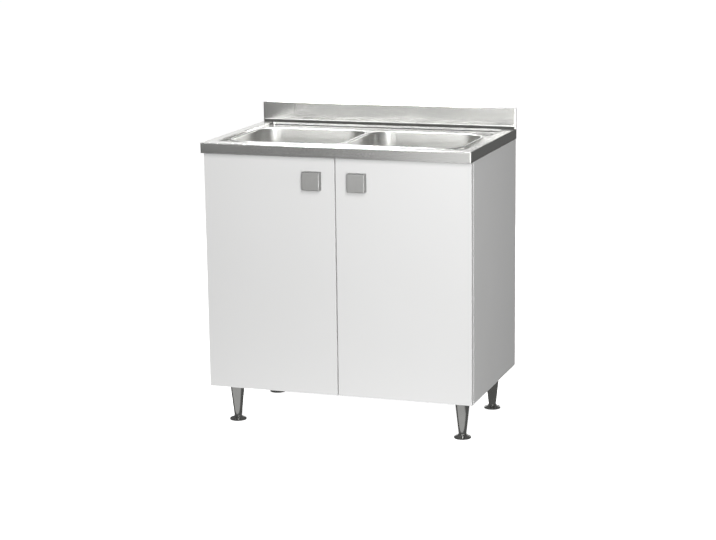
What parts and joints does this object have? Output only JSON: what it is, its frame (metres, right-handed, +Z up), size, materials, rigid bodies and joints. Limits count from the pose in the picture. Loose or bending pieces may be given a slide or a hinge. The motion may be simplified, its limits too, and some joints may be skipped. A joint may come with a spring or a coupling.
{
  "type": "kitchen sink unit",
  "caption": "Free-standing kitchen sink unit: pressed stainless double-bowl top with a folded upstand on a white two-door cabinet with square knobs and conical metal legs.",
  "frame": {"origin": "on the floor, at the middle of the space that the unit takes", "axes": "+X to the right seen from the front, -Y to the front, +Z up"},
  "size_m": [0.8, 0.502, 0.9],
  "materials": {
    "sink_steel": "brushed stainless sheet",
    "waste_steel": "polished stainless pressing",
    "white_board": "white melamine faced board",
    "back_board": "thin white lacquered board",
    "zinc_fittings": "zinc-plated steel",
    "beech": "plain beech",
    "satin_knob": "satin metal",
    "satin_leg": "satin chrome look",
    "chrome_foot": "polished",
    "rubber_seal": "black rubber",
    "white_plastic": "moulded polypropylene"
  },
  "bodies": {
    "cabinet": {"sink_top": "sink_steel", "left_bowl": "sink_steel", "right_bowl": "sink_steel", "left_side_panel": "white_board", "right_side_panel": "white_board", "bottom_panel": "white_board", "front_rail": "white_board", "rear_rail": "white_board", "back_panel": "back_board", "cam_connectors": "zinc_fittings", "dowels": "beech", "top_clips": "zinc_fittings", "top_clip_screws": "zinc_fittings", "leg_plates": "zinc_fittings", "leg_plate_screws": "zinc_fittings", "front_left_leg": "satin_leg", "front_right_leg": "satin_leg", "rear_left_leg": "satin_leg", "rear_right_leg": "satin_leg", "left_hinge_arms": "zinc_fittings", "left_hinge_plates": "zinc_fittings", "left_plate_screws": "zinc_fittings", "left_waste_flange": "waste_steel", "left_waste_gasket": "rubber_seal", "left_waste_body": "white_plastic", "right_hinge_arms": "zinc_fittings", "right_hinge_plates": "zinc_fittings", "right_plate_screws": "zinc_fittings", "right_waste_flange": "waste_steel", "right_waste_gasket": "rubber_seal", "right_waste_body": "white_plastic", "drain_manifold": "white_plastic", "slip_nuts": "white_plastic", "trap_body": "white_plastic", "trap_cup": "white_plastic", "dip_tube": "white_plastic", "outlet_pipe": "white_plastic"},
    "left_hinge_links": {"left_hinge_links": "zinc_fittings"},
    "left_door": {"left_door": "white_board", "left_knob": "satin_knob", "left_knob_screw": "zinc_fittings", "left_door_bumpers": "rubber_seal", "left_hinge_cups": "zinc_fittings", "left_cup_screws": "zinc_fittings"},
    "left_basket_strainer": {"left_basket_strainer": "waste_steel"},
    "right_hinge_links": {"right_hinge_links": "zinc_fittings"},
    "right_door": {"right_door": "white_board", "right_knob": "satin_knob", "right_knob_screw": "zinc_fittings", "right_door_bumpers": "rubber_seal", "right_hinge_cups": "zinc_fittings", "right_cup_screws": "zinc_fittings"},
    "right_basket_strainer": {"right_basket_strainer": "waste_steel"},
    "front_left_foot": {"front_left_foot": "chrome_foot"},
    "front_right_foot": {"front_right_foot": "chrome_foot"},
    "rear_left_foot": {"rear_left_foot": "chrome_foot"},
    "rear_right_foot": {"rear_right_foot": "chrome_foot"}
  },
  "joints": [
    {"name": "left_link_turn", "type": "hinge", "parent": "cabinet", "child": "left_hinge_links", "pos_m": [-0.364, -0.215, 0.4635], "axis": [0, 0, 1], "range_deg": [0, 50]},
    {"name": "left_door_turn", "type": "hinge", "parent": "left_hinge_links", "child": "left_door", "pos_m": [-0.384, -0.2175, 0.4635], "axis": [0, 0, -1], "range_deg": [0, 150]},
    {"name": "right_link_turn", "type": "hinge", "parent": "cabinet", "child": "right_hinge_links", "pos_m": [0.364, -0.215, 0.4635], "axis": [0, 0, -1], "range_deg": [0, 50]},
    {"name": "right_door_turn", "type": "hinge", "parent": "right_hinge_links", "child": "right_door", "pos_m": [0.384, -0.2175, 0.4635], "axis": [0, 0, 1], "range_deg": [0, 150]},
    {"name": "front_left_foot_screw", "type": "slide", "parent": "cabinet", "child": "front_left_foot", "axis": [0, 0, -1], "range_m": [0, 0.015]},
    {"name": "front_right_foot_screw", "type": "slide", "parent": "cabinet", "child": "front_right_foot", "axis": [0, 0, -1], "range_m": [0, 0.015]},
    {"name": "rear_left_foot_screw", "type": "slide", "parent": "cabinet", "child": "rear_left_foot", "axis": [0, 0, -1], "range_m": [0, 0.015]},
    {"name": "rear_right_foot_screw", "type": "slide", "parent": "cabinet", "child": "rear_right_foot", "axis": [0, 0, -1], "range_m": [0, 0.015]},
    {"name": "left_strainer_lift", "type": "slide", "parent": "cabinet", "child": "left_basket_strainer", "axis": [0, 0, 1], "range_m": [0, 0.12]},
    {"name": "right_strainer_lift", "type": "slide", "parent": "cabinet", "child": "right_basket_strainer", "axis": [0, 0, 1], "range_m": [0, 0.12]}
  ],
  "couplings": [
    {"joint": "left_link_turn", "follows": "left_door_turn", "ratio": 0.33333},
    {"joint": "right_link_turn", "follows": "right_door_turn", "ratio": 0.33333}
  ]
}
